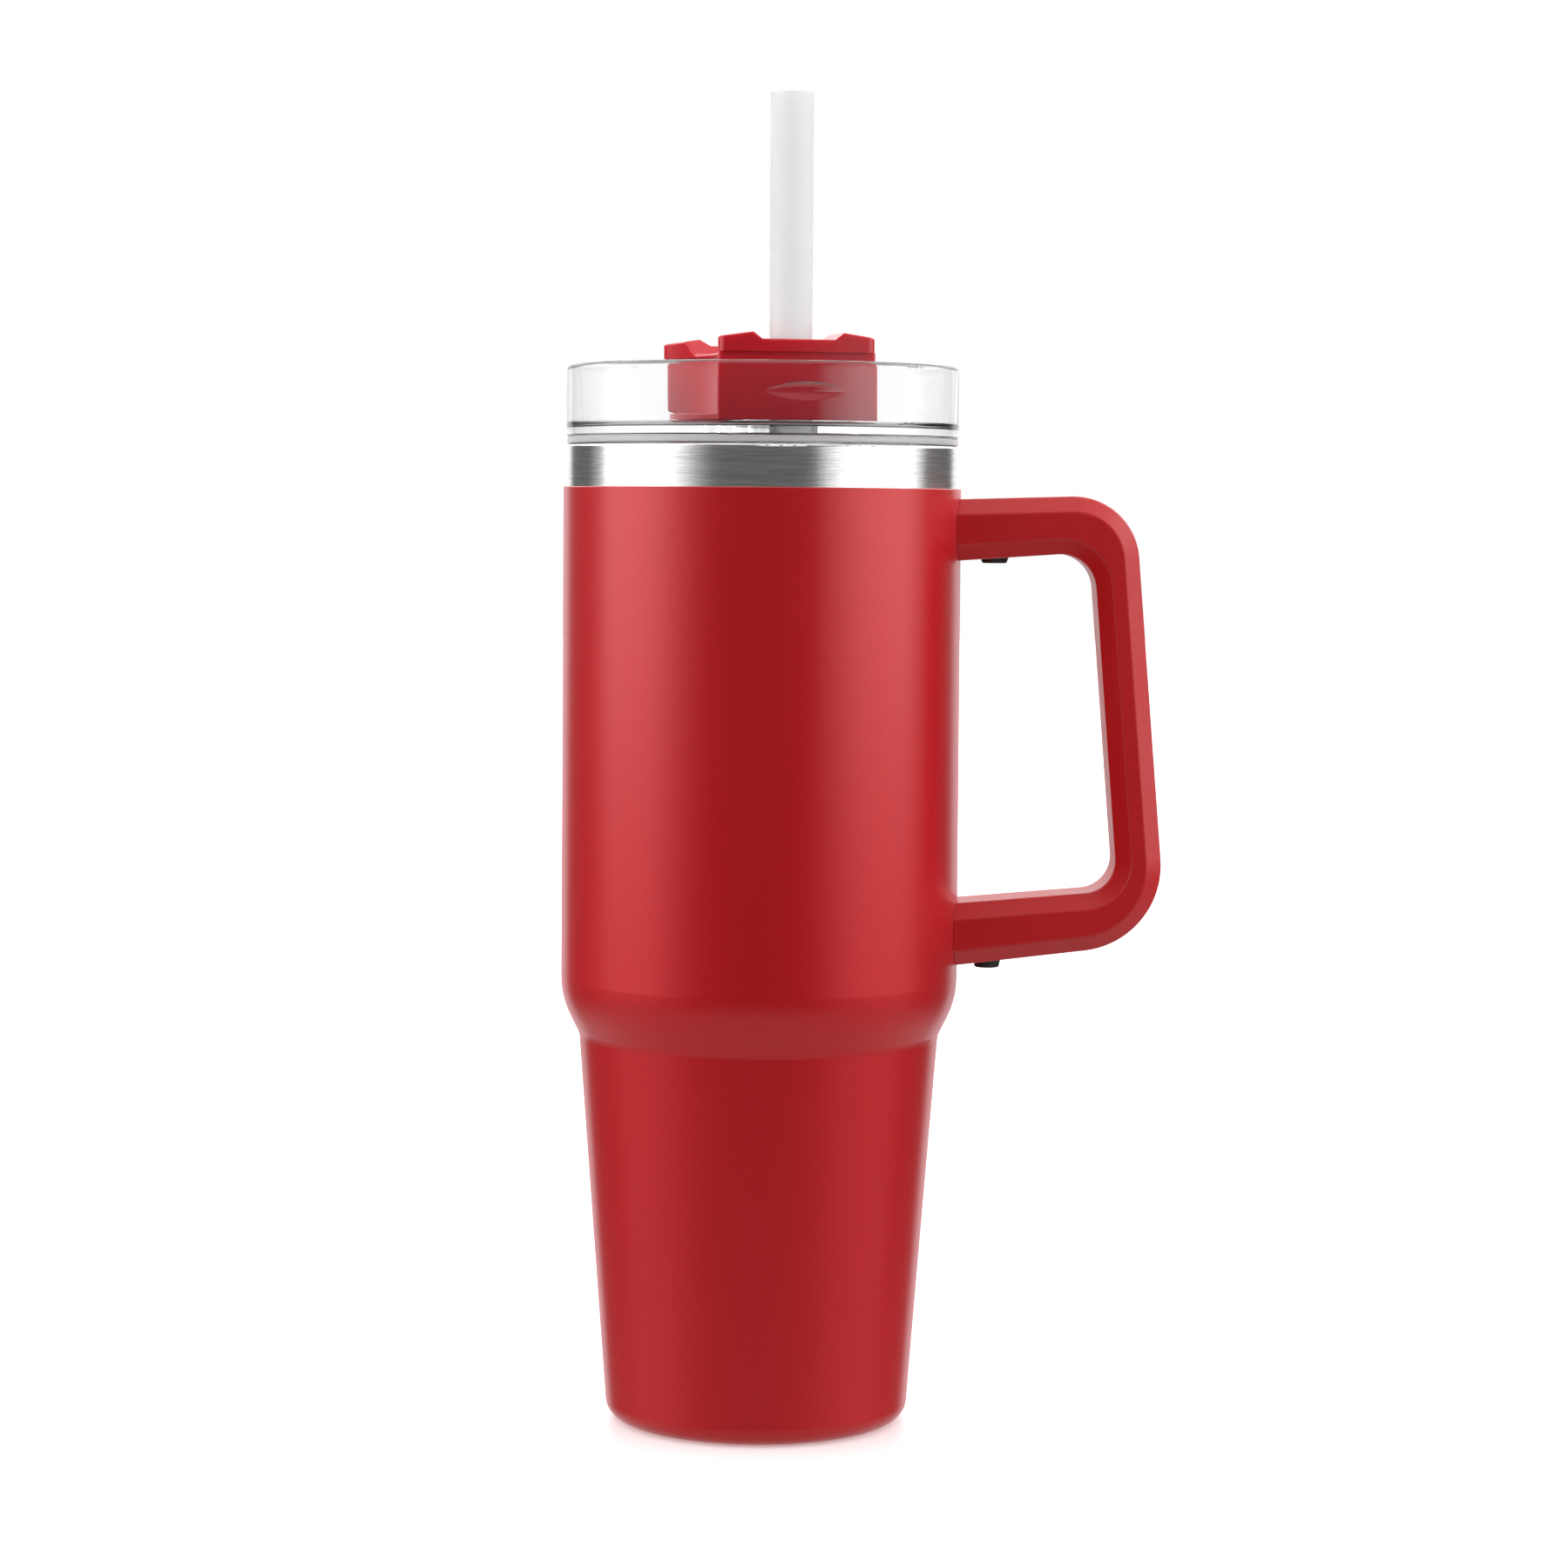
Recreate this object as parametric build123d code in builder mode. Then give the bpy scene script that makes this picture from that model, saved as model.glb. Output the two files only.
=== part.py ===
from build123d import *

import os
from math import cos, radians, sin

# Insulated travel mug: a vacuum walled steel cup with a bolted-on loop handle, a clear push-in lid,
# a turning cover on the lid and a straight straw through both.
# Millimetres. +Z is up along the cup's axis, the base rests on z = 0 and the handle points along +X.

# ---- cup body ----
BODY_R = 50.0                 # painted upper body
COLLAR_R = 49.55              # bare steel collar above the paint
RIM_Z = 245.9                 # top of the steel rim
PAINT_TOP_Z = 235.3           # edge of the paint
SHOULDER_Z = 106.9            # where the upper wall and the shoulder slope would meet
SHOULDER_ROUND = 21.6
KINK_R = 45.36                # shoulder slope meets the tapered lower wall
KINK_Z = 97.6
KINK_ROUND = 4.0
FOOT_R = 37.85                # taper carried down to the table
FOOT_ROUND = 4.9
FOOT_INNER_R = 29.5           # hole in the turned-in foot
SHELL_WALL = 0.5

# ---- liner, vacuum space and base ----
LINER_GAP = 3.7               # from the outer surface to the liner's outer surface
LINER_WALL = 0.4
LINER_FLOOR_Z = 12.0          # inside floor of the cup
LINER_FLOOR_ROUND = 8.0
NECK_R = 45.9                 # inside radius of the mouth
VACUUM_BASE_Z = 6.0
BASE_CAP_Z = 0.95
BASE_CAP_T = 0.8
BASE_CAP_R = 32.2

# ---- handle ----
HANDLE_HALF_DEPTH = 12.0
HANDLE_CHAMFER = 3.9
HANDLE_EDGE_ROUND = 1.2       # takes the sharpness off both edges of each chamfer
HANDLE_WALL = 2.4
HANDLE_CAVITY_HALF_DEPTH = 8.7
HANDLE_OUTLINE = [            # (x, z), clockwise from the upper arm's top at the cup
    (44.0, 232.65),
    (93.1, 234.2),
    (102.3, 122.2),
    (44.0, 115.2),
    (44.0, 131.1),
    (89.8, 135.0),
    (83.0, 219.8),
    (44.0, 217.05),
]
HANDLE_ROUNDS = {1: 16.5, 2: 21.5, 5: 8.2, 6: 9.0}
CORE_INSET = 3.0              # stiffener, measured in from the handle's outline
CORE_HALF_DEPTH = 3.0
CORE_START_X = 67.0

# handle fixings, the same at both arms: a screw runs up through the arm into a welded bracket
SCREW_R = 1.7
SCREW_HEAD_R = 3.3
SCREW_HEAD_H = 2.1
SCREW_SOCKET_R = 1.3
SCREW_LENGTH = 7.7            # below the head
PLUG_R = 3.55
PLUG_TIP_R = 3.05
PLUG_DEPTH = 2.3              # length of the plug inside the arm
FIXING_HOLE_R = 3.6
FIXING_BOSS_R = 5.6
BRACKET_HALF_WIDTH = 5.5
BRACKET_END_X = 63.4
BRACKET_H = 6.6
# (name, screw x, underside z of the arm there, how far the plug sticks out)
ARM_FIXINGS = [("upper", 58.6, 218.1, 1.3), ("lower", 57.6, 116.85, 2.2)]
BOSS_H = 5.5                  # boss top above the arm's underside

# ---- lid ----
LID_R = 49.45
LID_TOP_Z = 265.8
LID_BOTTOM_Z = 247.8          # underside of the wide rim
LID_FLOOR_Z = 250.0
LID_FLOOR_T = 2.4
LID_WALL = 3.1
LID_WALL_ROUND = 1.5
LID_FLOOR_ROUND = 1.5
RIM_SEAL_R = 49.2             # soft ring between the lid's wide rim and the steel rim
RIM_SEAL_Z = 246.1
SKIRT_R = 44.6
SKIRT_WALL = 2.3
SKIRT_BOTTOM_Z = 231.5
GASKET_Z = 236.6
GASKET_H = 4.4
GASKET_GROOVE_R = 43.5
GASKET_FIN_R = 45.8
VENT_R = 1.2
RIDGE_LENGTH = 22.0           # finger ridge on the lid's outer wall
RIDGE_R = 2.7
RIDGE_PROUD = 1.25
RIDGE_Z = 258.3
RIDGE_ANGLE = -77.7           # direction from the axis, degrees from +X

# ---- turning cover ----
COVER_TURN = 15.2             # how far the cover's front end is swung from -Y towards +X
COVER_BOTTOM_Z = 251.2
COVER_RIM_Z = 268.3           # underside of the flange
COVER_VALLEY_Z = 271.4
COVER_EAR_Z = 273.1
COVER_EDGE_Z = 271.6
COVER_MIDDLE_Z = 268.9        # top of the low middle part
COVER_HALF_LENGTH = 33.0
COVER_HALF_WIDTH = 20.2
COVER_END_SAG = 0.9           # how far each end face bows out
COVER_WAIST = 12.0
COVER_WALL = 2.2
COVER_FRONT_CORNER = 0.6
COVER_TOP_ROUND = 0.55
COVER_BACK_CORNER = 4.0
COVER_ROOF_UNDERSIDE_Z = 267.6
FLANGE_OVERHANG = 0.8
FLANGE_FRONT_CORNER = 2.2
FLANGE_BACK_CORNER = 4.6
VALLEY_HALF_WIDTH = 9.2
EAR_PEAK_X = 11.5
MIDDLE_END_Y = 14.0           # the low middle part ends here, then the top rises to the ears
EAR_START_Y = 17.5
EAR_RISE_LENGTH = 2.5
BACK_RISE_Y = 6.0             # the cover's underside curves up from here to its back end
BACK_RISE_Z = 254.8
DISC_R = 23.5                 # thin disc under the cover
DISC_BOTTOM_Z = 251.25
DISC_T = 1.5
PIVOT_R = 5.2
PIVOT_HOLE_R = 5.25
PIVOT_BOSS_R = 8.0
PIVOT_TOP_Z = 262.0
PIVOT_FLANGE_R = 7.6
PIVOT_FLANGE_T = 1.4
HUB_R = 9.0
HUB_DROP = 2.0
RING_R = 17.6                 # stiffening ring round the hub
RING_T = 1.4

# ---- straw and its way through the lid ----
STRAW_R = 5.25
STRAW_WALL = 0.9
STRAW_TOP_Z = 331.8
STRAW_BOTTOM_Z = 14.5
STRAW_REACH = 25.5            # from the pivot's axis to the straw's axis
STRAW_HOLE_R = 5.9
GROMMET_BORE_R = 5.3
GROMMET_R = 6.3
GROMMET_H = 6.0
GROMMET_BOSS_R = 8.0
SLOT_SWING = 20.8             # half the arc that the straw sweeps, with its clearance
SLOT_WIDTH = 11.8
PAD_WIDTH = 15.0
PAD_BOTTOM_Z = 250.35
PAD_T = 0.85

FRONT_ANGLE = -90.0 + COVER_TURN
BACK_ANGLE = 90.0 + COVER_TURN
STRAW_X = STRAW_REACH * cos(radians(FRONT_ANGLE))
STRAW_Y = STRAW_REACH * sin(radians(FRONT_ANGLE))
FLOOR_UNDERSIDE_Z = LID_FLOOR_Z - LID_FLOOR_T
TAPER = (KINK_R - FOOT_R) / KINK_Z

os.makedirs("parts", exist_ok=True)


def export_piece(piece, label):
    piece.part.label = label
    export_step(piece.part, "parts/" + label + ".step")


def add_outline(sketch, corners, rounds=None, mode=Mode.ADD):
    """Draw the closed polygon in the sketch and round the corners listed by index."""
    with BuildLine() as path:
        Polyline(*corners, close=True)
    make_face(path.edges(), mode=mode)
    for index, radius in (rounds or {}).items():
        corner = sketch.vertices().sort_by_distance(corners[index])[0]
        fillet(corner, radius)


def taper_radius(z):
    return FOOT_R + TAPER * z


def add_body_outline(sketch, inset, bottom_z, top_z, foot_round, mode=Mode.ADD):
    """Half section of the cup's outside, moved in by the inset, from bottom_z to top_z."""
    corners = [
        (0, bottom_z),
        (taper_radius(bottom_z) - inset, bottom_z),
        (KINK_R - inset, KINK_Z),
        (BODY_R - inset, SHOULDER_Z),
        (BODY_R - inset, top_z),
        (0, top_z),
    ]
    add_outline(sketch, corners, {1: foot_round, 2: KINK_ROUND, 3: SHOULDER_ROUND}, mode)


# ======== cup body ========

# outer shell: painted wall, bare collar, rolled rim and turned-in foot
with BuildPart() as outer_shell:
    with BuildSketch(Plane.XZ) as section:
        add_body_outline(section, 0, 0, PAINT_TOP_Z, FOOT_ROUND)
        collar = [(0, PAINT_TOP_Z), (COLLAR_R, PAINT_TOP_Z), (COLLAR_R, RIM_Z), (0, RIM_Z)]
        add_outline(section, collar, {2: 0.9})
    revolve(axis=Axis.Z)
    with BuildSketch(Plane.XZ) as hollow:
        add_body_outline(hollow, SHELL_WALL, SHELL_WALL, PAINT_TOP_Z - 2.0, FOOT_ROUND - SHELL_WALL)
        throat_r = COLLAR_R - SHELL_WALL
        rim_inner_z = RIM_Z - SHELL_WALL
        throat_z = PAINT_TOP_Z - 2.0
        throat = [(0, throat_z), (throat_r, throat_z), (throat_r, rim_inner_z), (0, rim_inner_z)]
        add_outline(hollow, throat, {2: 0.5})
    revolve(axis=Axis.Z, mode=Mode.SUBTRACT)
    with Locations((0, 0, RIM_Z)):
        Cylinder(NECK_R + LINER_WALL + 0.05, 4.0, mode=Mode.SUBTRACT)
    Cylinder(FOOT_INNER_R, 4.0, mode=Mode.SUBTRACT)
    paint_edge = outer_shell.edges().filter_by(GeomType.CIRCLE)
    paint_edge = paint_edge.filter_by_position(Axis.Z, PAINT_TOP_Z - 0.01, PAINT_TOP_Z + 0.01)
    chamfer(paint_edge.sort_by(SortBy.RADIUS)[-1], 0.2)
export_piece(outer_shell, "outer_shell")

# liner: the steel cup inside, open at the top
with BuildPart() as inner_liner:
    with BuildSketch(Plane.XZ) as section:
        add_body_outline(section, LINER_GAP, LINER_FLOOR_Z - LINER_WALL, RIM_Z, LINER_FLOOR_ROUND + LINER_WALL)
    revolve(axis=Axis.Z)
    with BuildSketch(Plane.XZ) as hollow:
        liner_inset = LINER_GAP + LINER_WALL
        add_body_outline(hollow, liner_inset, LINER_FLOOR_Z, RIM_Z, LINER_FLOOR_ROUND)
    revolve(axis=Axis.Z, mode=Mode.SUBTRACT)
export_piece(inner_liner, "inner_liner")

# vacuum base: dished plate that closes the space between the two walls
with BuildPart() as vacuum_base:
    with BuildSketch(Plane.XZ) as section:
        rim_r = taper_radius(VACUUM_BASE_Z) - SHELL_WALL - 0.3
        corners = [
            (0, VACUUM_BASE_Z - 1.0),
            (8.0, VACUUM_BASE_Z - 1.0),
            (10.0, VACUUM_BASE_Z),
            (rim_r, VACUUM_BASE_Z),
            (rim_r, VACUUM_BASE_Z + 3.0),
            (rim_r - 0.8, VACUUM_BASE_Z + 3.0),
            (rim_r - 0.8, VACUUM_BASE_Z + 0.8),
            (9.6, VACUUM_BASE_Z + 0.8),
            (7.6, VACUUM_BASE_Z - 0.2),
            (0, VACUUM_BASE_Z - 0.2),
        ]
        add_outline(section, corners)
    revolve(axis=Axis.Z)
    with Locations((0, 0, VACUUM_BASE_Z - 0.6)):
        Cylinder(1.0, 3.0, mode=Mode.SUBTRACT)
export_piece(vacuum_base, "vacuum_base")

# solder bead that seals the evacuation hole
with BuildPart() as evacuation_seal:
    with BuildSketch(Plane.XZ) as section:
        seal_top_z = VACUUM_BASE_Z - 1.05
        seal_bottom_z = VACUUM_BASE_Z - 2.1
        corners = [(0, seal_bottom_z), (1.6, seal_bottom_z), (2.6, seal_top_z), (0, seal_top_z)]
        add_outline(section, corners, {1: 0.6})
    revolve(axis=Axis.Z)
export_piece(evacuation_seal, "evacuation_seal")

# getter: pressed pill that takes up stray gas in the vacuum space
with BuildPart() as getter_pill:
    with Locations((22.0, 0, VACUUM_BASE_Z + 0.85)):
        Cylinder(4.5, 2.0, align=(Align.CENTER, Align.CENTER, Align.MIN))
    chamfer(getter_pill.edges().filter_by(GeomType.CIRCLE), 0.4)
export_piece(getter_pill, "getter_pill")

# heat shield: copper foil wrapped round the liner's straight part
with BuildPart() as heat_shield:
    with BuildSketch(Plane.XY.offset(122.0)):
        Circle(BODY_R - LINER_GAP + 0.25)
        Circle(BODY_R - LINER_GAP + 0.05, mode=Mode.SUBTRACT)
    extrude(amount=108.0)
export_piece(heat_shield, "heat_shield")

# base cap: disc set in above the foot, with a middle that comes down level with it
with BuildPart() as base_cap:
    with BuildSketch(Plane.XZ) as section:
        corners = [
            (0, 0),
            (18.0, 0),
            (18.6, 0.5),
            (20.4, 0.5),
            (21.0, 0),
            (23.0, 0),
            (24.5, BASE_CAP_Z),
            (BASE_CAP_R, BASE_CAP_Z),
            (BASE_CAP_R, BASE_CAP_Z + BASE_CAP_T),
            (0, BASE_CAP_Z + BASE_CAP_T),
        ]
        add_outline(section, corners)
    revolve(axis=Axis.Z)
export_piece(base_cap, "base_cap")


# ======== handle ========

def add_screw_fixings(cut):
    """Bosses inside the arms, or the stepped holes through them when cut is true."""
    for _, x, underside_z, _ in ARM_FIXINGS:
        if cut:
            head_top_z = underside_z + PLUG_DEPTH + SCREW_HEAD_H + 0.15
            with Locations((x, 0, head_top_z)):
                Cylinder(
                    FIXING_HOLE_R, 8.0, align=(Align.CENTER, Align.CENTER, Align.MAX), mode=Mode.SUBTRACT
                )
                Cylinder(SCREW_R + 0.1, 4.0, mode=Mode.SUBTRACT)
        else:
            with Locations((x, 0, underside_z + 1.0)):
                Cylinder(FIXING_BOSS_R, BOSS_H - 1.0, align=(Align.CENTER, Align.CENTER, Align.MIN))


def edges_at_depths(loop, depths):
    """The loop's long edges that lie at the given distances in front of and behind its middle plane."""
    found = ShapeList()
    for edge in loop.edges().filter_by_position(Axis.X, 44.5, 120.0):
        low_y = edge.bounding_box().min.Y
        high_y = edge.bounding_box().max.Y
        if high_y - low_y < 0.01 and min(abs(abs(low_y) - depth) for depth in depths) < 0.01:
            found.append(edge)
    return found


# both halves as one hollow loop, cut back to the cup's round wall
with BuildPart() as handle_loop:
    with BuildSketch(Plane.XZ) as outline:
        add_outline(outline, HANDLE_OUTLINE, HANDLE_ROUNDS)
    extrude(amount=HANDLE_HALF_DEPTH, both=True)
    chamfer(edges_at_depths(handle_loop, [HANDLE_HALF_DEPTH]), HANDLE_CHAMFER)
    chamfer_edges = edges_at_depths(handle_loop, [HANDLE_HALF_DEPTH, HANDLE_HALF_DEPTH - HANDLE_CHAMFER])
    fillet(chamfer_edges, HANDLE_EDGE_ROUND)
    with BuildSketch(Plane.XZ) as cavity:
        add_outline(cavity, HANDLE_OUTLINE, HANDLE_ROUNDS)
        offset(amount=-HANDLE_WALL)
    extrude(amount=HANDLE_CAVITY_HALF_DEPTH, both=True, mode=Mode.SUBTRACT)
    add_screw_fixings(cut=False)
    add_screw_fixings(cut=True)
    with Locations((0, 0, 100.0)):
        Cylinder(BODY_R + 0.05, 150.0, align=(Align.CENTER, Align.CENTER, Align.MIN), mode=Mode.SUBTRACT)

with BuildPart() as handle_front_shell:
    add(handle_loop.part)
    split(bisect_by=Plane.XZ, keep=Keep.TOP)
export_piece(handle_front_shell, "handle_front_shell")

with BuildPart() as handle_back_shell:
    add(handle_loop.part)
    split(bisect_by=Plane.XZ, keep=Keep.BOTTOM)
export_piece(handle_back_shell, "handle_back_shell")

# stiffener inside the grip
with BuildPart() as handle_core:
    with BuildSketch(Plane.XZ) as outline:
        add_outline(outline, HANDLE_OUTLINE, HANDLE_ROUNDS)
        offset(amount=-CORE_INSET)
        with Locations((CORE_START_X, 170.0)):
            Rectangle(80.0, 200.0, align=(Align.MAX, Align.CENTER), mode=Mode.SUBTRACT)
    extrude(amount=CORE_HALF_DEPTH, both=True)
export_piece(handle_core, "handle_core")

# welded brackets, screws and rubber plugs
for arm, screw_x, arm_underside_z, plug_proud in ARM_FIXINGS:
    bracket_z = arm_underside_z + BOSS_H + 0.05
    plug_bottom_z = arm_underside_z - plug_proud
    head_bottom_z = arm_underside_z + PLUG_DEPTH + 0.05

    with BuildPart() as bracket:
        with BuildSketch(Plane.XY.offset(bracket_z)):
            with Locations((BRACKET_END_X, 0)):
                Rectangle(20.0, 2 * BRACKET_HALF_WIDTH, align=(Align.MAX, Align.CENTER))
            Circle(BODY_R + 0.02, mode=Mode.SUBTRACT)
            with Locations((screw_x, 0)):
                Circle(SCREW_R + 0.03, mode=Mode.SUBTRACT)
        extrude(amount=BRACKET_H)
        chamfer(bracket.edges().filter_by(Axis.Z).sort_by(Axis.X)[-2:], 1.5)
    export_piece(bracket, arm + "_handle_bracket")

    with BuildPart() as screw:
        with Locations((screw_x, 0, head_bottom_z)):
            Cylinder(SCREW_HEAD_R, SCREW_HEAD_H, align=(Align.CENTER, Align.CENTER, Align.MIN))
        with Locations((screw_x, 0, head_bottom_z + SCREW_HEAD_H)):
            Cylinder(SCREW_R, SCREW_LENGTH, align=(Align.CENTER, Align.CENTER, Align.MIN))
        with BuildSketch(Plane.XY.offset(head_bottom_z)):
            with Locations((screw_x, 0)):
                RegularPolygon(SCREW_SOCKET_R, 6)
        extrude(amount=1.2, mode=Mode.SUBTRACT)
    export_piece(screw, arm + "_handle_screw")

    with BuildPart() as plug:
        with Locations((screw_x, 0, arm_underside_z)):
            Cylinder(PLUG_R, PLUG_DEPTH, align=(Align.CENTER, Align.CENTER, Align.MIN))
        with BuildSketch(Plane.XY.offset(plug_bottom_z)):
            with Locations((screw_x, 0)):
                Circle(PLUG_TIP_R)
        with BuildSketch(Plane.XY.offset(arm_underside_z)):
            with Locations((screw_x, 0)):
                Circle(PLUG_R)
        loft()
        fillet(plug.edges().sort_by(Axis.Z)[0], 0.4)
    export_piece(plug, arm + "_screw_plug")


# ======== lid ========

def slot_centre_line(angle, swing):
    with BuildLine() as path:
        CenterArc((0, 0), STRAW_REACH, angle - swing, 2 * swing)
    return path.edge()


# clear lid: wide round wall, floor with an arc shaped opening, and a skirt that goes into the cup
with BuildPart() as lid_body:
    with BuildSketch(Plane.XZ) as section:
        wall_inner_r = LID_R - LID_WALL
        corners = [
            (0, FLOOR_UNDERSIDE_Z),
            (SKIRT_R - SKIRT_WALL, FLOOR_UNDERSIDE_Z),
            (SKIRT_R - SKIRT_WALL, SKIRT_BOTTOM_Z),
            (SKIRT_R - 0.6, SKIRT_BOTTOM_Z),
            (SKIRT_R, SKIRT_BOTTOM_Z + 1.5),
            (SKIRT_R, LID_BOTTOM_Z),
            (LID_R, LID_BOTTOM_Z),
            (LID_R, LID_TOP_Z),
            (wall_inner_r, LID_TOP_Z),
            (wall_inner_r - 0.7, LID_FLOOR_Z),
            (0, LID_FLOOR_Z),
        ]
        rounds = {1: 2.0, 6: 0.5, 7: LID_WALL_ROUND, 8: 0.8, 9: LID_FLOOR_ROUND}
        add_outline(section, corners, rounds)
        groove = [
            (GASKET_GROOVE_R, GASKET_Z),
            (SKIRT_R + 1.0, GASKET_Z),
            (SKIRT_R + 1.0, GASKET_Z + GASKET_H),
            (GASKET_GROOVE_R, GASKET_Z + GASKET_H),
        ]
        add_outline(section, groove, mode=Mode.SUBTRACT)
    revolve(axis=Axis.Z)
    # hub under the floor that carries the pivot, with a stiffening ring round it
    with BuildSketch(Plane.XY.offset(FLOOR_UNDERSIDE_Z)):
        Circle(RING_R)
        Circle(RING_R - RING_T, mode=Mode.SUBTRACT)
        Circle(HUB_R)
    extrude(amount=-HUB_DROP)
    with BuildSketch(Plane.XY.offset(FLOOR_UNDERSIDE_Z - HUB_DROP)):
        Circle(PIVOT_HOLE_R)
    extrude(amount=HUB_DROP + LID_FLOOR_T, mode=Mode.SUBTRACT)
    # arc opening for the straw and for drinking, and a small air vent across from it
    with BuildSketch(Plane.XY.offset(FLOOR_UNDERSIDE_Z - HUB_DROP)):
        SlotArc(slot_centre_line(FRONT_ANGLE, SLOT_SWING), SLOT_WIDTH)
        with PolarLocations(STRAW_REACH, 1, start_angle=BACK_ANGLE):
            Circle(VENT_R)
    extrude(amount=HUB_DROP + LID_FLOOR_T, mode=Mode.SUBTRACT)
    # finger ridge: half a spindle set into the wall
    ridge_r = LID_R + RIDGE_PROUD - RIDGE_R
    ridge_outward = (cos(radians(RIDGE_ANGLE)), sin(radians(RIDGE_ANGLE)), 0)
    ridge_tangent = (-ridge_outward[1], ridge_outward[0], 0)
    ridge_centre = (ridge_r * ridge_outward[0], ridge_r * ridge_outward[1], RIDGE_Z)
    with BuildSketch(Plane(ridge_centre, x_dir=ridge_tangent, z_dir=ridge_outward)):
        with BuildLine():
            ThreePointArc((-RIDGE_LENGTH / 2, 0), (0, RIDGE_R), (RIDGE_LENGTH / 2, 0))
            Line((-RIDGE_LENGTH / 2, 0), (RIDGE_LENGTH / 2, 0))
        make_face()
    revolve(axis=Axis(ridge_centre, ridge_tangent), revolution_arc=180.0)
export_piece(lid_body, "lid_body")

# gasket: ring in the skirt's groove with two soft fins
with BuildPart() as lid_gasket:
    with BuildSketch(Plane.XZ) as section:
        inner_r = GASKET_GROOVE_R + 0.05
        low_z = GASKET_Z + 0.1
        high_z = GASKET_Z + GASKET_H - 0.1
        corners = [
            (inner_r, low_z),
            (SKIRT_R + 0.2, low_z),
            (GASKET_FIN_R, low_z + 1.2),
            (GASKET_FIN_R, low_z + 1.7),
            (SKIRT_R + 0.3, low_z + 1.3),
            (SKIRT_R + 0.3, high_z - 1.4),
            (GASKET_FIN_R, high_z - 0.5),
            (GASKET_FIN_R, high_z),
            (SKIRT_R + 0.2, high_z - 0.6),
            (inner_r, high_z - 0.6),
        ]
        add_outline(section, corners)
    revolve(axis=Axis.Z)
export_piece(lid_gasket, "lid_gasket")

# rim seal: flat ring under the lid's wide rim
with BuildPart() as rim_seal:
    with BuildSketch(Plane.XY.offset(RIM_SEAL_Z)):
        Circle(RIM_SEAL_R)
        Circle(SKIRT_R + 0.05, mode=Mode.SUBTRACT)
    extrude(amount=LID_BOTTOM_Z - 0.05 - RIM_SEAL_Z)
    fillet(rim_seal.edges().filter_by(GeomType.CIRCLE).group_by(SortBy.RADIUS)[-1], 0.4)
export_piece(rim_seal, "rim_seal")


# ======== turning cover ========

def add_cover_plan(grow):
    """Plan of the cover: a bar with bowed ends and a waist, grown by the given amount."""
    half_width = COVER_HALF_WIDTH + grow
    half_length = COVER_HALF_LENGTH + grow
    waist = COVER_WAIST + grow
    corner_y = half_length - COVER_END_SAG
    with BuildLine() as path:
        for side in (1, -1):
            ThreePointArc(
                (half_width, side * corner_y), (0, side * half_length), (-half_width, side * corner_y)
            )
            ThreePointArc((side * half_width, corner_y), (side * waist, 0), (side * half_width, -corner_y))
    make_face(path.edges())


def is_outer_top_edge(edge):
    """True for the edges round the outside of the cover's top, and not for the creases within it."""
    middle = edge @ 0.5
    is_outer = abs(middle.X) > EAR_PEAK_X + 0.5 or abs(middle.Y) > COVER_HALF_LENGTH - 1.0
    return is_outer and edge.bounding_box().min.Z > COVER_MIDDLE_Z - 0.01


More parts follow.
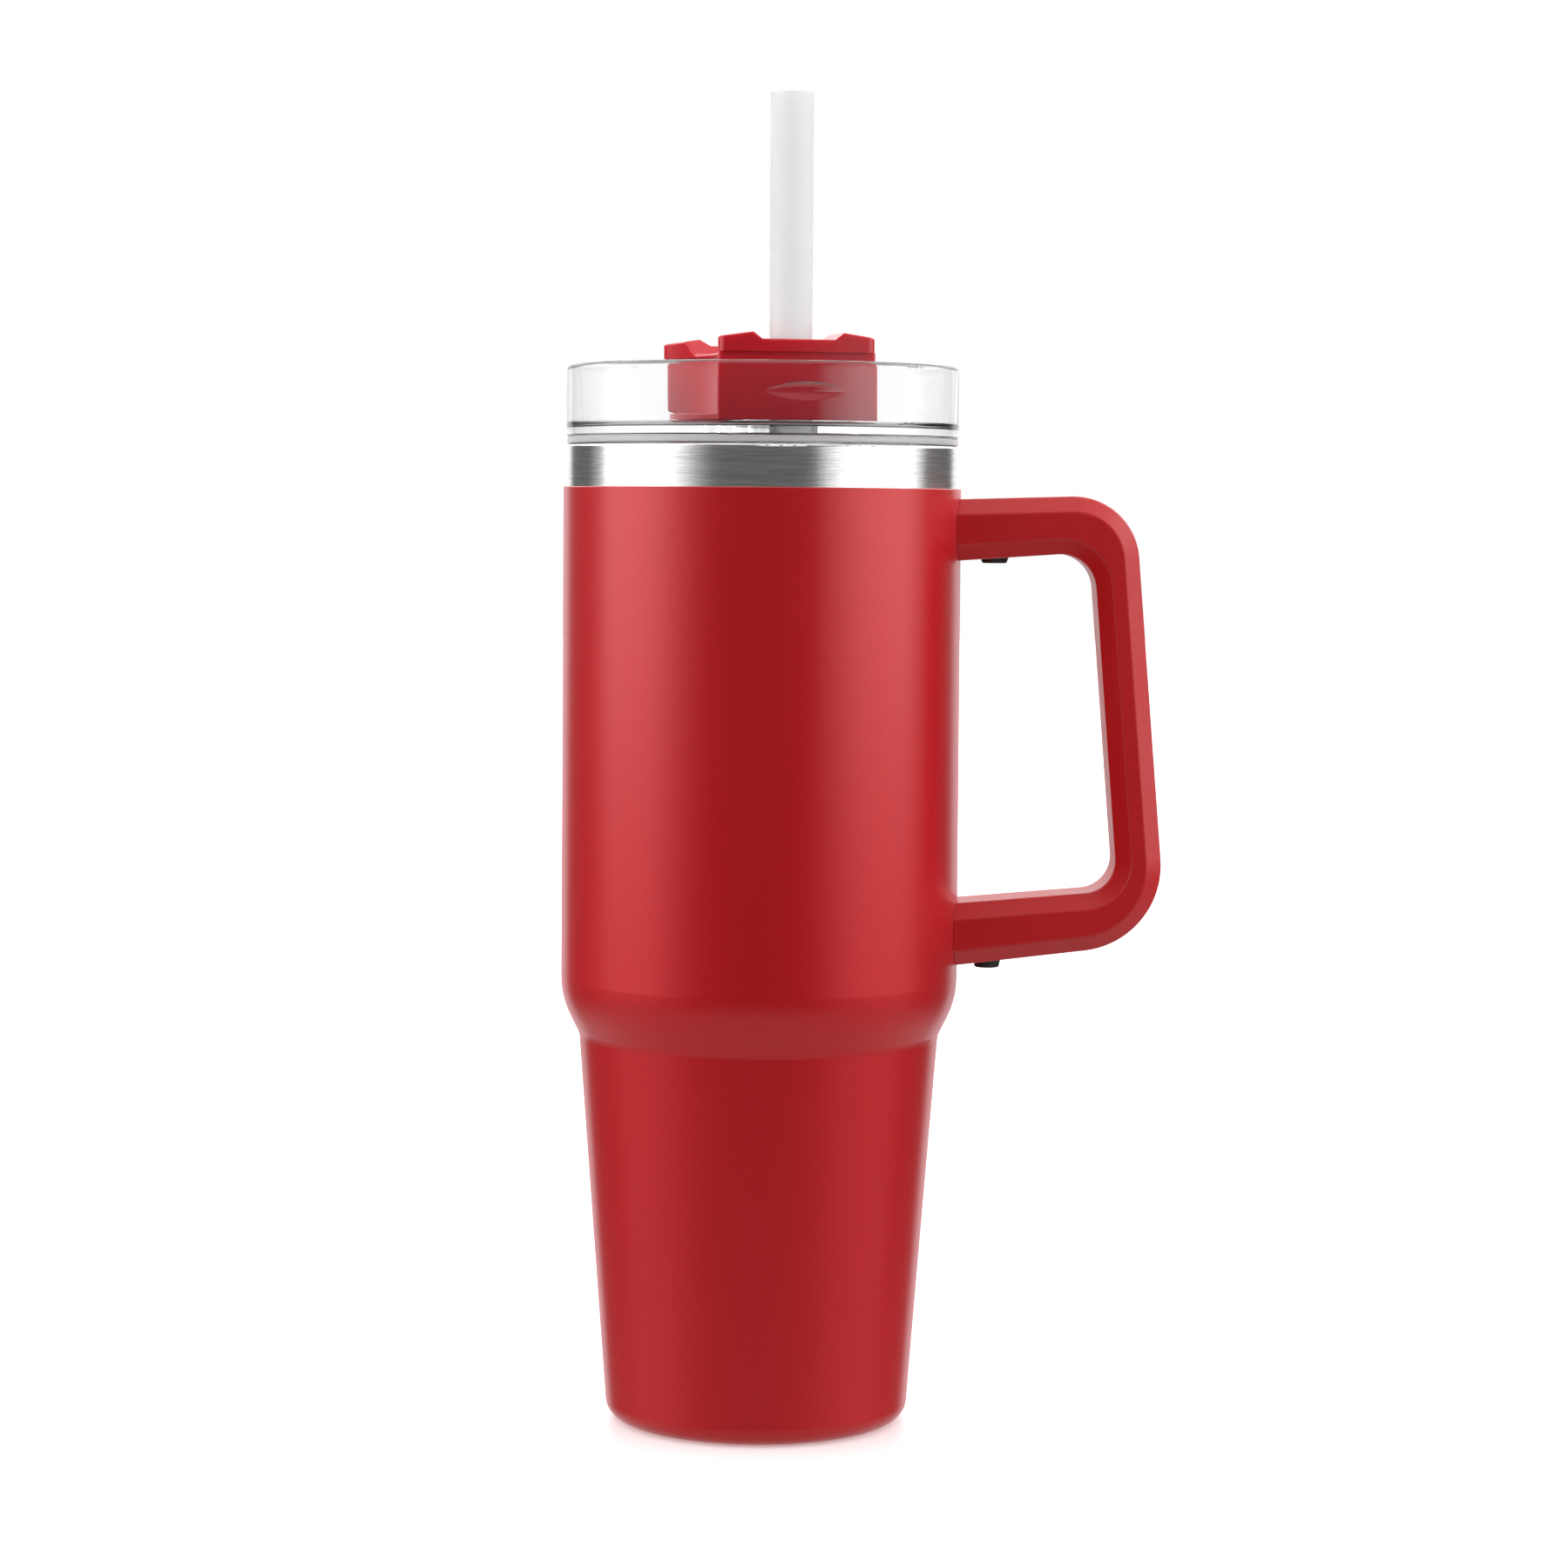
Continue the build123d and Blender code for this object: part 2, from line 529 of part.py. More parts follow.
# cover: hollow waisted block with a flange, raised ears at both ends and a straw hole at the front
with BuildPart() as cover_at_front:
    with BuildSketch(Plane.XY.offset(COVER_BOTTOM_Z)) as block:
        add_cover_plan(0)
        fillet(block.vertices().sort_by(Axis.Y)[:2], COVER_FRONT_CORNER)
        fillet(block.vertices().sort_by(Axis.Y)[-2:], COVER_BACK_CORNER)
    extrude(amount=COVER_RIM_Z - COVER_BOTTOM_Z)
    # hollow, except for the bosses of the straw and the pivot
    with BuildSketch(Plane.XY.offset(COVER_BOTTOM_Z)):
        add_cover_plan(-COVER_WALL)
        Circle(PIVOT_BOSS_R, mode=Mode.SUBTRACT)
        with Locations((0, -STRAW_REACH)):
            Circle(GROMMET_BOSS_R, mode=Mode.SUBTRACT)
    extrude(amount=COVER_ROOF_UNDERSIDE_Z - COVER_BOTTOM_Z, mode=Mode.SUBTRACT)
    # flange with rounded corners
    with BuildSketch(Plane.XY.offset(COVER_RIM_Z)) as flange:
        add_cover_plan(FLANGE_OVERHANG)
        fillet(flange.vertices().sort_by(Axis.Y)[:2], FLANGE_FRONT_CORNER)
        fillet(flange.vertices().sort_by(Axis.Y)[-2:], FLANGE_BACK_CORNER)
    extrude(amount=COVER_EAR_Z - COVER_RIM_Z)
    # valley along the middle with a ridge on each side, falling gently to the outer edges
    with BuildSketch(Plane.XZ) as trimmed_top:
        outside_x = COVER_HALF_WIDTH + FLANGE_OVERHANG + 1.0
        sky_z = COVER_EAR_Z + 2.0
        corners = [
            (-outside_x, COVER_EDGE_Z),
            (-EAR_PEAK_X, COVER_EAR_Z),
            (-VALLEY_HALF_WIDTH, COVER_VALLEY_Z),
            (VALLEY_HALF_WIDTH, COVER_VALLEY_Z),
            (EAR_PEAK_X, COVER_EAR_Z),
            (outside_x, COVER_EDGE_Z),
            (outside_x, sky_z),
            (-outside_x, sky_z),
        ]
        add_outline(trimmed_top, corners)
    extrude(amount=COVER_HALF_LENGTH + 5.0, both=True, mode=Mode.SUBTRACT)
    # the middle is lower than the ends, which leaves an ear at each corner
    with BuildSketch(Plane.YZ) as saddle:
        rise_y = EAR_START_Y + EAR_RISE_LENGTH
        corners = [
            (-rise_y, COVER_EAR_Z + 0.1),
            (-EAR_START_Y, COVER_VALLEY_Z),
            (-MIDDLE_END_Y, COVER_MIDDLE_Z),
            (MIDDLE_END_Y, COVER_MIDDLE_Z),
            (EAR_START_Y, COVER_VALLEY_Z),
            (rise_y, COVER_EAR_Z + 0.1),
        ]
        add_outline(saddle, corners, {2: 3.0, 3: 3.0})
    extrude(amount=COVER_HALF_WIDTH + 5.0, both=True, mode=Mode.SUBTRACT)
    # underside of the back end, curved upwards
    with BuildSketch(Plane.YZ):
        with BuildLine():
            back_y = COVER_HALF_LENGTH + 1.0
            rise = BACK_RISE_Z - COVER_BOTTOM_Z
            underside = [
                (BACK_RISE_Y, COVER_BOTTOM_Z),
                (0.55 * (BACK_RISE_Y + back_y), COVER_BOTTOM_Z + 0.3 * rise),
                (back_y, BACK_RISE_Z),
            ]
            ThreePointArc(*underside)
            below_z = COVER_BOTTOM_Z - 1.0
            Polyline(underside[2], (back_y, below_z), (BACK_RISE_Y, below_z), underside[0])
        make_face()
    extrude(amount=COVER_HALF_WIDTH + 5.0, both=True, mode=Mode.SUBTRACT)
    # seat of the disc, pivot bore, straw hole and the grommet's wider seat
    with BuildSketch(Plane.XY.offset(COVER_BOTTOM_Z - 1.0)):
        Circle(DISC_R + 0.05)
        SlotArc(slot_centre_line(90.0, SLOT_SWING), PAD_WIDTH + 0.1)
    extrude(amount=DISC_BOTTOM_Z + DISC_T + 0.05 - COVER_BOTTOM_Z + 1.0, mode=Mode.SUBTRACT)
    with BuildSketch(Plane.XY.offset(COVER_BOTTOM_Z)):
        Circle(PIVOT_HOLE_R)
    extrude(amount=PIVOT_TOP_Z - COVER_BOTTOM_Z + 0.1, mode=Mode.SUBTRACT)
    with BuildSketch(Plane.XY.offset(COVER_BOTTOM_Z)):
        with Locations((0, -STRAW_REACH)):
            Circle(STRAW_HOLE_R)
    extrude(amount=COVER_EAR_Z - COVER_BOTTOM_Z, mode=Mode.SUBTRACT)
    with BuildSketch(Plane.XY.offset(COVER_VALLEY_Z - GROMMET_H)):
        with Locations((0, -STRAW_REACH)):
            Circle(GROMMET_R + 0.02)
    extrude(amount=GROMMET_H + 2.0, mode=Mode.SUBTRACT)
    fillet(cover_at_front.edges().filter_by(is_outer_top_edge), COVER_TOP_ROUND)

with BuildPart() as turning_cover:
    add(cover_at_front.part, rotation=(0, 0, COVER_TURN))
export_piece(turning_cover, "turning_cover")

# disc under the cover, with a wing over the closing pad and a hole for the straw
with BuildPart() as cover_disc:
    with BuildSketch(Plane.XY.offset(DISC_BOTTOM_Z)):
        Circle(DISC_R)
        SlotArc(slot_centre_line(BACK_ANGLE, SLOT_SWING), PAD_WIDTH)
        Circle(PIVOT_HOLE_R, mode=Mode.SUBTRACT)
        with Locations((STRAW_X, STRAW_Y)):
            Circle(STRAW_HOLE_R, mode=Mode.SUBTRACT)
    extrude(amount=DISC_T)
export_piece(cover_disc, "cover_disc")

# closing pad: soft arc shaped pad that covers the lid's opening when the cover is turned round
with BuildPart() as closing_pad:
    with BuildSketch(Plane.XY.offset(PAD_BOTTOM_Z)):
        SlotArc(slot_centre_line(BACK_ANGLE, SLOT_SWING), PAD_WIDTH - 0.6)
    extrude(amount=PAD_T)
export_piece(closing_pad, "closing_pad")

# straw grommet: soft ring round the straw, level with the valley
with BuildPart() as straw_grommet:
    with BuildSketch(Plane.XY.offset(COVER_VALLEY_Z - GROMMET_H + 0.05)):
        with Locations((STRAW_X, STRAW_Y)):
            Circle(GROMMET_R)
            Circle(GROMMET_BORE_R, mode=Mode.SUBTRACT)
    extrude(amount=GROMMET_H - 0.05)
    chamfer(straw_grommet.edges().sort_by(Axis.Z)[-2:].sort_by(SortBy.RADIUS)[0], 0.4)
export_piece(straw_grommet, "straw_grommet")

# pivot pin: goes up through the lid's hub into the cover, held by its own flange below
with BuildPart() as pivot_pin:
    with BuildSketch(Plane.XZ) as section:
        flange_top_z = FLOOR_UNDERSIDE_Z - HUB_DROP - 0.3
        corners = [
            (0, flange_top_z - PIVOT_FLANGE_T),
            (PIVOT_FLANGE_R, flange_top_z - PIVOT_FLANGE_T),
            (PIVOT_FLANGE_R, flange_top_z),
            (PIVOT_R, flange_top_z),
            (PIVOT_R, PIVOT_TOP_Z),
            (0, PIVOT_TOP_Z),
        ]
        add_outline(section, corners, {1: 0.5, 4: 0.8})
    revolve(axis=Axis.Z)
export_piece(pivot_pin, "pivot_pin")


# ======== straw ========

with BuildPart() as straw:
    with BuildSketch(Plane.XY.offset(STRAW_BOTTOM_Z)):
        with Locations((STRAW_X, STRAW_Y)):
            Circle(STRAW_R)
            Circle(STRAW_R - STRAW_WALL, mode=Mode.SUBTRACT)
    extrude(amount=STRAW_TOP_Z - STRAW_BOTTOM_Z)
    fillet(straw.edges().group_by(Axis.Z)[-1], 0.4)
    fillet(straw.edges().group_by(Axis.Z)[0], 0.3)
export_piece(straw, "straw")
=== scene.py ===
import math

import bpy
from mathutils import Matrix, Vector

# ---- frame ----
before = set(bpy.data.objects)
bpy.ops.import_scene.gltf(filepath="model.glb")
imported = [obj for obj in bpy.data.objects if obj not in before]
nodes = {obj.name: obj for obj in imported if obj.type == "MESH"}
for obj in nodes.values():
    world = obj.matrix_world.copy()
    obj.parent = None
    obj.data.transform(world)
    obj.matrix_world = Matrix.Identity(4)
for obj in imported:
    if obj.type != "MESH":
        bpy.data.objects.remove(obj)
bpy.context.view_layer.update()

# ---- sizes, metres ----
PAINT_TOP_Z = 0.2353          # edge of the paint on the outer shell
FLOOR_HALF_SIDE = 6.0

# ---- camera ----
CAMERA_DISTANCE = 1.0016
CAMERA_HEIGHT = 0.23024
CAMERA_PITCH = math.radians(2.5)
CAMERA_ROLL = math.radians(0.4125)
LENS_MM = 91.2
SENSOR_MM = 36.0
SHIFT_X = 0.01467
SHIFT_Y = -0.0654

# ---- colours, linear ----
PAINT_RED = (0.615, 0.010, 0.014)
HANDLE_RED = (0.61, 0.010, 0.013)
COVER_RED = (0.62, 0.013, 0.026)
PAINT_SHEEN = (1.0, 0.22, 0.28)
SILICONE_RED = (0.50, 0.020, 0.085)
STEEL = (0.86, 0.85, 0.83)
DARK_STEEL = (0.42, 0.42, 0.43)
COPPER = (0.80, 0.36, 0.22)
CLEAR = (0.985, 0.992, 0.995)
STRAW_WHITE = (0.985, 0.99, 0.995)
MILKY = (0.94, 0.945, 0.95)
RUBBER_BLACK = (0.012, 0.012, 0.013)
CORE_BLACK = (0.03, 0.03, 0.032)
SEAL_DARK = (0.05, 0.045, 0.04)
GETTER_GREY = (0.20, 0.19, 0.18)
FLOOR_WHITE = (0.93, 0.93, 0.93)
WHITE = (1.0, 1.0, 1.0)

# ---- textures ----
NOISE_RANGE = (0.3, 0.7)      # where nearly all of a noise texture's values lie
UNEVEN_GLOSS = 0.15           # how far the roughness of a piece wanders, as a share of itself

# ---- floor ----
FLOOR_ROUGHNESS = 0.35
FLOOR_GLOW = 0.28

# ---- studio light ----
# brightness by direction round the object, as (degrees from the camera's side, towards +X positive;
# brightness): a softbox on each side near eye level, its faint glow below, and wider, softer light
# above; behind the object is the pale backdrop
EYE_LEVEL_STOPS = [
    (-180, 1.3), (-152, 1.1), (-146, 0.15), (-120, 0.12), (-108, 0.6), (-98, 2.7), (-88, 3.3),
    (-64, 3.3), (-50, 1.6), (-38, 0.55), (-28, 0.15), (31, 0.15), (37, 1.2), (44, 1.7), (58, 3.0),
    (90, 3.1), (100, 1.5), (110, 0.15), (142, 0.15), (150, 1.1), (180, 1.3),
]
LOW_STOPS = [
    (-180, 1.1), (-152, 0.95), (-146, 0.06), (-108, 0.07), (-98, 0.32), (-88, 0.4), (-64, 0.4),
    (-50, 0.2), (-38, 0.05), (37, 0.05), (58, 0.36), (90, 0.37), (100, 0.2), (110, 0.05),
    (142, 0.05), (150, 0.95), (180, 1.1),
]
UPPER_STOPS = [
    (-180, 1.9), (-130, 2.2), (-100, 2.5), (-60, 2.1), (-38, 0.2), (38, 0.2), (60, 2.1),
    (100, 2.5), (130, 2.2), (180, 1.9),
]
SKY_PEAK = 4.4                # brightness that counts as 1 inside the ramps
FLOOR_LIGHT = 0.6             # light that comes back up from the table
OVERHEAD_LIGHT = 1.2
BACKDROP_LIGHT = 1.0          # the plain backdrop that the camera sees
# sines of the elevations between which each layer of light gives way to the next
FLOOR_TO_LOW = (-0.55, -0.2)
LOW_TO_EYE_LEVEL = (-0.085, -0.025)
EYE_LEVEL_TO_UPPER = (0.18, 0.34)
UPPER_TO_OVERHEAD = (0.6, 0.85)
BACKDROP_RANGE = (0.0, 0.3)   # how far towards +Y a ray through clear plastic goes to see the backdrop


# ======== material building blocks ========

def new_material(name):
    material = bpy.data.materials.new(name)
    material.use_nodes = True
    tree = material.node_tree
    tree.nodes.clear()
    output = tree.nodes.new("ShaderNodeOutputMaterial")
    shader = tree.nodes.new("ShaderNodeBsdfPrincipled")
    tree.links.new(shader.outputs["BSDF"], output.inputs["Surface"])
    return material, tree, shader


def set_inputs(shader, **values):
    for name, value in values.items():
        socket = shader.inputs[name.replace("_", " ")]
        socket.default_value = (*value, 1.0) if isinstance(value, tuple) else value


def object_coordinates(tree, scale=(1.0, 1.0, 1.0)):
    coordinates = tree.nodes.new("ShaderNodeTexCoord")
    mapping = tree.nodes.new("ShaderNodeMapping")
    mapping.inputs["Scale"].default_value = scale
    tree.links.new(coordinates.outputs["Object"], mapping.inputs["Vector"])
    return mapping.outputs["Vector"]


def noise(tree, vector, scale, detail=3.0, roughness=0.5):
    texture = tree.nodes.new("ShaderNodeTexNoise")
    texture.inputs["Scale"].default_value = scale
    texture.inputs["Detail"].default_value = detail
    texture.inputs["Roughness"].default_value = roughness
    tree.links.new(vector, texture.inputs["Vector"])
    return texture.outputs["Fac"]


def spread(tree, texture, low, high):
    """Turn the values of a noise texture into the range low to high."""
    node = tree.nodes.new("ShaderNodeMapRange")
    node.inputs["From Min"].default_value = NOISE_RANGE[0]
    node.inputs["From Max"].default_value = NOISE_RANGE[1]
    node.inputs["To Min"].default_value = low
    node.inputs["To Max"].default_value = high
    tree.links.new(texture, node.inputs["Value"])
    return node.outputs["Result"]


def shade(colour, factor):
    return tuple(min(1.0, channel * factor) for channel in colour)


def vary_colour(tree, shader, texture, colour, darkest, lightest):
    """Let the base colour wander between two shades of the colour, given as factors."""
    node = tree.nodes.new("ShaderNodeMix")
    node.data_type = "RGBA"
    node.inputs["A"].default_value = (*shade(colour, darkest), 1.0)
    node.inputs["B"].default_value = (*shade(colour, lightest), 1.0)
    tree.links.new(texture, node.inputs["Factor"])
    tree.links.new(node.outputs["Result"], shader.inputs["Base Color"])


def vary_roughness(tree, shader, texture, low, high):
    tree.links.new(spread(tree, texture, low, high), shader.inputs["Roughness"])


def unsettle_gloss(tree, shader, texture, roughness):
    """Let the roughness wander a little on both sides of the given one."""
    least = roughness * (1.0 - UNEVEN_GLOSS)
    most = roughness * (1.0 + UNEVEN_GLOSS)
    vary_roughness(tree, shader, texture, least, most)


def add_bump(tree, shader, texture, distance):
    bump = tree.nodes.new("ShaderNodeBump")
    bump.inputs["Strength"].default_value = 1.0
    bump.inputs["Distance"].default_value = distance
    tree.links.new(texture, bump.inputs["Height"])
    tree.links.new(bump.outputs["Normal"], shader.inputs["Normal"])


# ======== materials ========

def moulded_plastic(name, colour, roughness, grain=0.00001, grain_scale=2600.0, **values):
    """Smooth moulding with a faint grain and slightly uneven gloss."""
    material, tree, shader = new_material(name)
    vector = object_coordinates(tree)
    cloud = noise(tree, vector, scale=38.0, detail=4.0)
    vary_colour(tree, shader, cloud, colour, darkest=0.93, lightest=1.06)
    unsettle_gloss(tree, shader, cloud, roughness)
    add_bump(tree, shader, noise(tree, vector, grain_scale), grain)
    set_inputs(shader, **values)
    return material


def rubber(name, colour, roughness, **values):
    """Like moulded plastic, with a coarser grain."""
    return moulded_plastic(name, colour, roughness, grain=0.00003, grain_scale=1800.0, **values)


def powder_coat():
    """Baked powder paint: fine orange peel with tiny darker specks."""
    material, tree, shader = new_material("powder_coat")
    vector = object_coordinates(tree)
    peel = noise(tree, vector, scale=1500.0, detail=2.0)
    cloud = noise(tree, vector, scale=24.0)
    vary_colour(tree, shader, peel, PAINT_RED, darkest=0.9, lightest=1.1)
    vary_roughness(tree, shader, cloud, low=0.42, high=0.46)
    add_bump(tree, shader, peel, distance=0.000015)
    set_inputs(shader, Metallic=0.3, Specular_IOR_Level=0.1, Coat_Weight=0.72, Coat_Roughness=0.22)
    set_inputs(shader, Sheen_Weight=0.9, Sheen_Roughness=0.22, Sheen_Tint=PAINT_SHEEN)
    return material


def brushed_steel(name, colour, roughness):
    """Steel brushed round the axis: the lines run level, and the shine spreads across them."""
    material, tree, shader = new_material(name)
    level_lines = object_coordinates(tree, scale=(1.0, 1.0, 30.0))
    lines = noise(tree, level_lines, scale=95.0, detail=5.0, roughness=0.7)
    lines = spread(tree, lines, 0.0, 1.0)
    cloud = noise(tree, object_coordinates(tree), scale=30.0)
    vary_colour(tree, shader, lines, colour, darkest=0.7, lightest=1.2)
    unsettle_gloss(tree, shader, cloud, roughness)
    add_bump(tree, shader, lines, distance=0.000006)
    tangent = tree.nodes.new("ShaderNodeTangent")
    tangent.direction_type = "RADIAL"
    tangent.axis = "Z"
    tree.links.new(tangent.outputs["Tangent"], shader.inputs["Tangent"])
    set_inputs(shader, Metallic=1.0, Anisotropic=0.7, Anisotropic_Rotation=0.25)
    return material


def copper_foil():
    """Crumpled foil, with creases drawn out along the axis."""
    material, tree, shader = new_material("copper_foil")
    upright = object_coordinates(tree, scale=(1.0, 1.0, 0.3))
    creases = noise(tree, upright, scale=120.0, detail=6.0, roughness=0.65)
    vary_colour(tree, shader, creases, COPPER, darkest=0.8, lightest=1.1)
    vary_roughness(tree, shader, creases, low=0.22, high=0.4)
    add_bump(tree, shader, creases, distance=0.0003)
    set_inputs(shader, Metallic=1.0)
    return material


def clear_plastic():
    """Clear moulding with a faintly uneven surface."""
    material, tree, shader = new_material("clear_plastic")
    vector = object_coordinates(tree)
    vary_roughness(tree, shader, noise(tree, vector, scale=60.0), low=0.0, high=0.012)
    add_bump(tree, shader, noise(tree, vector, scale=45.0), distance=0.00001)
    set_inputs(shader, Base_Color=CLEAR, IOR=1.5, Transmission_Weight=1.0)
    return material


def straw_plastic():
    """Milky plastic, slightly cloudy along its length."""
    material, tree, shader = new_material("straw_plastic")
    cloud = noise(tree, object_coordinates(tree, scale=(1.0, 1.0, 0.1)), scale=120.0, detail=2.0)
    vary_colour(tree, shader, cloud, STRAW_WHITE, darkest=0.985, lightest=1.0)
    vary_roughness(tree, shader, cloud, low=0.36, high=0.44)
    set_inputs(shader, IOR=1.16, Transmission_Weight=0.82)
    return material


powder_coat_material = powder_coat()
steel_material = brushed_steel("bare_steel", STEEL, roughness=0.22)
screw_material = brushed_steel("screw_steel", DARK_STEEL, roughness=0.35)
clear_material = clear_plastic()
handle_material = moulded_plastic(
    "handle_plastic", HANDLE_RED, roughness=0.4, Specular_IOR_Level=0.45,
)
cover_material = moulded_plastic(
    "cover_plastic", COVER_RED, roughness=0.2, grain=0.000004,
    Specular_IOR_Level=0.35, Subsurface_Weight=0.4, Subsurface_Scale=0.004,
)
core_material = moulded_plastic(
    "core_plastic", CORE_BLACK, roughness=0.55, grain=0.00004, grain_scale=1400.0,
)
seal_material = moulded_plastic("seal_glass", SEAL_DARK, roughness=0.15)
getter_material = moulded_plastic(
    "getter_metal", GETTER_GREY, roughness=0.7, grain=0.00006, grain_scale=2400.0, Metallic=0.6,
)
rubber_material = rubber("black_rubber", RUBBER_BLACK, roughness=0.55)
red_silicone_material = rubber(
    "red_silicone", SILICONE_RED, roughness=0.35, Transmission_Weight=0.25,
)
clear_silicone_material = rubber(
    "clear_silicone", MILKY, roughness=0.35, Transmission_Weight=0.4,
)

NODE_MATERIALS = {
    "outer_shell": powder_coat_material,
    "inner_liner": steel_material,
    "vacuum_base": steel_material,
    "evacuation_seal": seal_material,
    "getter_pill": getter_material,
    "heat_shield": copper_foil(),
    "base_cap": steel_material,
    "handle_front_shell": handle_material,
    "handle_back_shell": handle_material,
    "handle_core": core_material,
    "upper_handle_bracket": steel_material,
    "lower_handle_bracket": steel_material,
    "upper_handle_screw": screw_material,
    "lower_handle_screw": screw_material,
    "upper_screw_plug": rubber_material,
    "lower_screw_plug": rubber_material,
    "lid_body": clear_material,
    "lid_gasket": clear_silicone_material,
    "rim_seal": clear_silicone_material,
    "turning_cover": cover_material,
    "cover_disc": cover_material,
    "closing_pad": red_silicone_material,
    "straw_grommet": red_silicone_material,
    "pivot_pin": clear_material,
    "straw": straw_plastic(),
}

for node_name, node_material in NODE_MATERIALS.items():
    mesh = nodes[node_name].data
    mesh.materials.clear()
    mesh.materials.append(node_material)

# the collar above the paint is bare steel
shell_mesh = nodes["outer_shell"].data
shell_mesh.materials.append(steel_material)
for polygon in shell_mesh.polygons:
    polygon.material_index = 1 if polygon.center.z > PAINT_TOP_Z else 0


# ======== floor ========

def add_floor():
    side = FLOOR_HALF_SIDE
    mesh = bpy.data.meshes.new("floor")
    corners = [(-side, -side, 0), (side, -side, 0), (side, side, 0), (-side, side, 0)]
    mesh.from_pydata(corners, [], [(0, 1, 2, 3)])
    floor = bpy.data.objects.new("floor", mesh)
    bpy.context.scene.collection.objects.link(floor)
    material, tree, shader = new_material("pale_floor")
    set_inputs(shader, Base_Color=FLOOR_WHITE, Roughness=FLOOR_ROUGHNESS)
    set_inputs(shader, Emission_Color=WHITE, Emission_Strength=FLOOR_GLOW)
    mesh.materials.append(material)
    floor.visible_glossy = False
    floor.visible_diffuse = False
    floor.visible_transmission = False


# ======== studio light ========

def sky_node(tree, kind, **values):
    """Add a node to the sky and set its plain properties."""
    node = tree.nodes.new(kind)
    for name, value in values.items():
        setattr(node, name, value)
    return node


def feed(tree, socket, value):
    """Set the socket to a plain number, or link it to the output of another node."""
    if isinstance(value, float):
        socket.default_value = value
    else:
        tree.links.new(value, socket)


def sky_range(tree, value, limits):
    """Rise smoothly from 0 to 1 between the two limits."""
    node = sky_node(tree, "ShaderNodeMapRange", interpolation_type="SMOOTHSTEP")
    node.inputs["From Min"].default_value = limits[0]
    node.inputs["From Max"].default_value = limits[1]
    tree.links.new(value, node.inputs["Value"])
    return node.outputs["Result"]


def sky_mix(tree, factor, first, second):
    node = sky_node(tree, "ShaderNodeMix", data_type="FLOAT")
    tree.links.new(factor, node.inputs["Factor"])
    feed(tree, node.inputs["A"], first)
    feed(tree, node.inputs["B"], second)
    return node.outputs["Result"]


def sky_math(tree, operation, first, second):
    node = sky_node(tree, "ShaderNodeMath", operation=operation)
    feed(tree, node.inputs[0], first)
    feed(tree, node.inputs[1], second)
    return node.outputs[0]


def sky_ramp(tree, turn, stops):
    """Brightness by direction, from stops that are spread over one whole turn."""
    ramp = sky_node(tree, "ShaderNodeValToRGB")
    elements = ramp.color_ramp.elements
    elements[0].position = 0.0
    elements[-1].position = 1.0
    for degrees, _ in stops[1:-1]:
        elements.new((degrees + 180.0) / 360.0)
    for element, (_, brightness) in zip(elements, stops):
        grey = brightness / SKY_PEAK
        element.color = (grey, grey, grey, 1.0)
    tree.links.new(turn, ramp.inputs["Fac"])
    return sky_math(tree, "MULTIPLY", ramp.outputs["Color"], SKY_PEAK)


def white_light(tree, strength):
    node = sky_node(tree, "ShaderNodeBackground")
    node.inputs["Color"].default_value = (*WHITE, 1.0)
    feed(tree, node.inputs["Strength"], strength)
    return node.outputs[0]


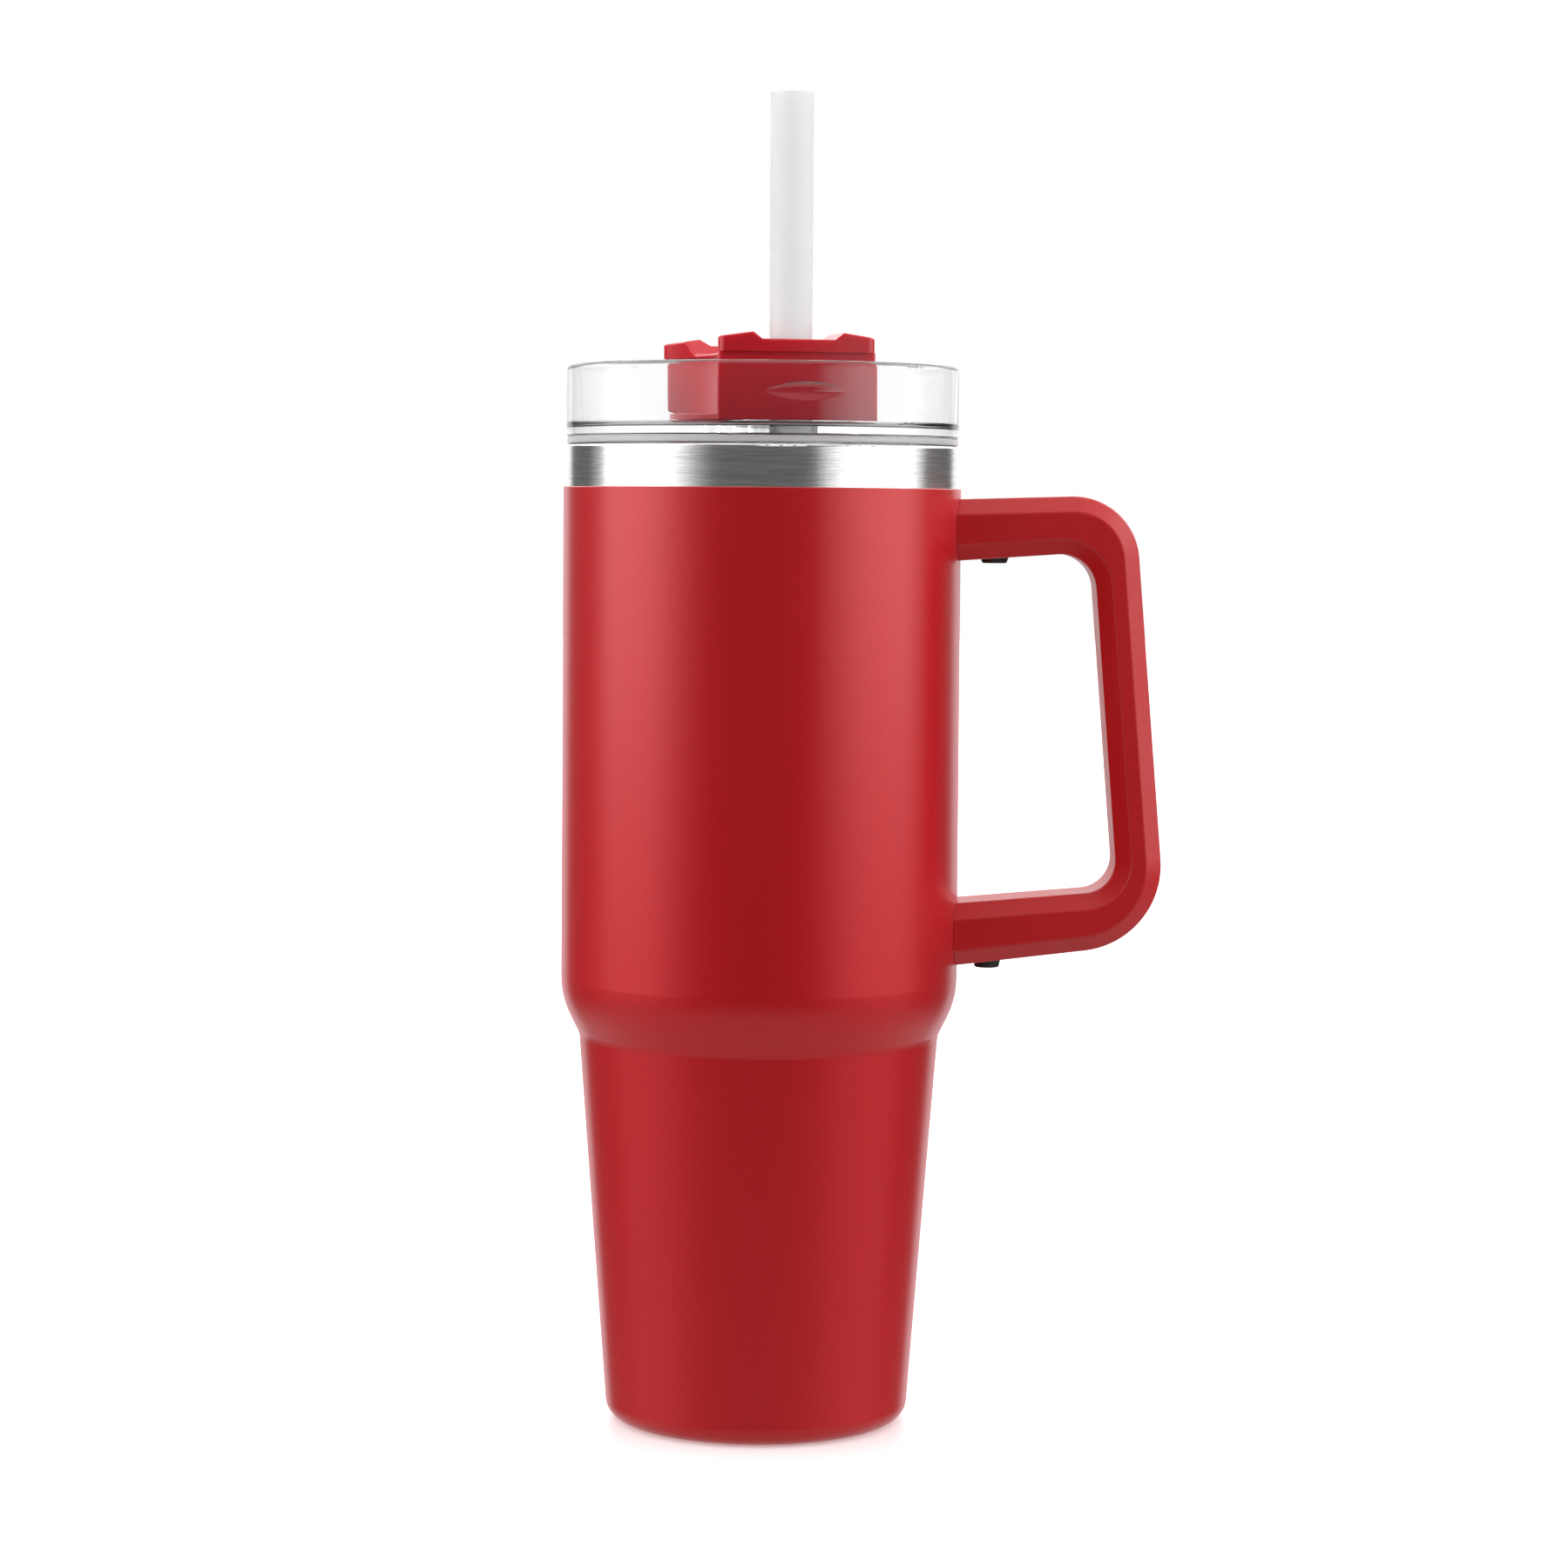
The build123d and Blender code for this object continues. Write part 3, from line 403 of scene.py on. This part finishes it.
def studio_brightness(tree, east, north, up):
    """Layers of light from below to overhead, each with its own brightness by direction."""
    # angle from the -Y direction, positive towards +X, as 0 to 1
    angle = sky_math(tree, "ARCTAN2", east, sky_math(tree, "MULTIPLY", north, -1.0))
    turn = sky_math(tree, "ADD", sky_math(tree, "MULTIPLY", angle, 0.5 / math.pi), 0.5)
    brightness = FLOOR_LIGHT
    for limits, next_layer in (
        (FLOOR_TO_LOW, sky_ramp(tree, turn, LOW_STOPS)),
        (LOW_TO_EYE_LEVEL, sky_ramp(tree, turn, EYE_LEVEL_STOPS)),
        (EYE_LEVEL_TO_UPPER, sky_ramp(tree, turn, UPPER_STOPS)),
        (UPPER_TO_OVERHEAD, OVERHEAD_LIGHT),
    ):
        brightness = sky_mix(tree, sky_range(tree, up, limits), brightness, next_layer)
    return brightness


def sees_backdrop(tree, north):
    """1 for the camera, and for a ray that goes back through clear plastic."""
    path = sky_node(tree, "ShaderNodeLightPath")
    backward = sky_range(tree, north, BACKDROP_RANGE)
    through = sky_math(tree, "MULTIPLY", path.outputs["Is Transmission Ray"], backward)
    return sky_math(tree, "MAXIMUM", path.outputs["Is Camera Ray"], through)


def add_sky():
    world = bpy.data.worlds.new("studio")
    bpy.context.scene.world = world
    world.use_nodes = True
    tree = world.node_tree
    tree.nodes.clear()
    direction = sky_node(tree, "ShaderNodeTexCoord").outputs["Generated"]
    split = sky_node(tree, "ShaderNodeSeparateXYZ")
    tree.links.new(direction, split.inputs["Vector"])
    east, north, up = split.outputs["X"], split.outputs["Y"], split.outputs["Z"]
    choose = sky_node(tree, "ShaderNodeMixShader")
    studio = white_light(tree, studio_brightness(tree, east, north, up))
    backdrop = white_light(tree, BACKDROP_LIGHT)
    tree.links.new(sees_backdrop(tree, north), choose.inputs["Fac"])
    tree.links.new(studio, choose.inputs[1])
    tree.links.new(backdrop, choose.inputs[2])
    output = sky_node(tree, "ShaderNodeOutputWorld")
    tree.links.new(choose.outputs[0], output.inputs["Surface"])


# ======== camera ========

def add_camera():
    data = bpy.data.cameras.new("camera")
    data.sensor_width = SENSOR_MM
    data.lens = LENS_MM
    data.shift_x = SHIFT_X
    data.shift_y = SHIFT_Y
    camera = bpy.data.objects.new("camera", data)
    bpy.context.scene.collection.objects.link(camera)
    place = Matrix.Translation(Vector((0.0, -CAMERA_DISTANCE, CAMERA_HEIGHT)))
    tilt = Matrix.Rotation(math.radians(90.0) - CAMERA_PITCH, 4, "X")
    roll = Matrix.Rotation(CAMERA_ROLL, 4, "Z")
    camera.matrix_world = place @ tilt @ roll
    bpy.context.scene.camera = camera


add_floor()
add_sky()
add_camera()
bpy.context.scene.view_settings.view_transform = "Standard"
